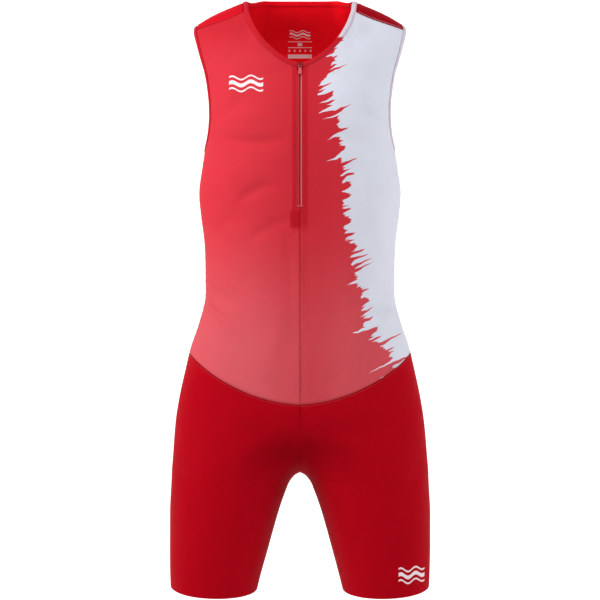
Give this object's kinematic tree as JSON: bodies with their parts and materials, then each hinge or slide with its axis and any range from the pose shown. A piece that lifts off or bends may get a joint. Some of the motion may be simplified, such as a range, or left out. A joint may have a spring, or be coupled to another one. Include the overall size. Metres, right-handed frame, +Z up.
{
  "type": "triathlon suit",
  "caption": "Sleeveless one-piece triathlon suit with a front half zip, short legs and a red and white brush-stroke front, held in its worn shape",
  "frame": {"origin": "between the shoulders, in the plane of the side seams, at the height of the shoulder seams' middle", "axes": "+Z up towards the neck, the front faces -Y, +X is the wearer's left"},
  "size_m": [0.4008, 0.2423, 0.9204],
  "materials": {
    "red_knit": "matte warp knit with a slight sheen",
    "white_knit": "matte warp knit with a slight sheen",
    "deep_red_knit": "matte stretch knit with a slight sheen",
    "binding": "folded elastic binding",
    "zip_tape": "woven zip tape and coil",
    "slider_enamel": "enamelled",
    "pull_plastic": "moulded rubbery plastic"
  },
  "bodies": {
    "suit": {"front_left": "white_knit", "front_right": "red_knit", "back": "deep_red_knit", "leg_left": "deep_red_knit", "leg_right": "deep_red_knit", "neck_binding": "binding", "armhole_binding_left": "binding", "armhole_binding_right": "binding", "zip_tape_left": "zip_tape", "zip_tape_right": "zip_tape", "zip_chain": "zip_tape", "zip_slider": "slider_enamel"},
    "zip_pull": {"zip_pull": "pull_plastic"}
  },
  "joints": [
    {"name": "zip_pull_swing", "type": "hinge", "parent": "suit", "child": "zip_pull", "pos_m": [0, -0.10254, -0.09237], "axis": [-1, 0, 0], "range_deg": [0, 150]}
  ]
}
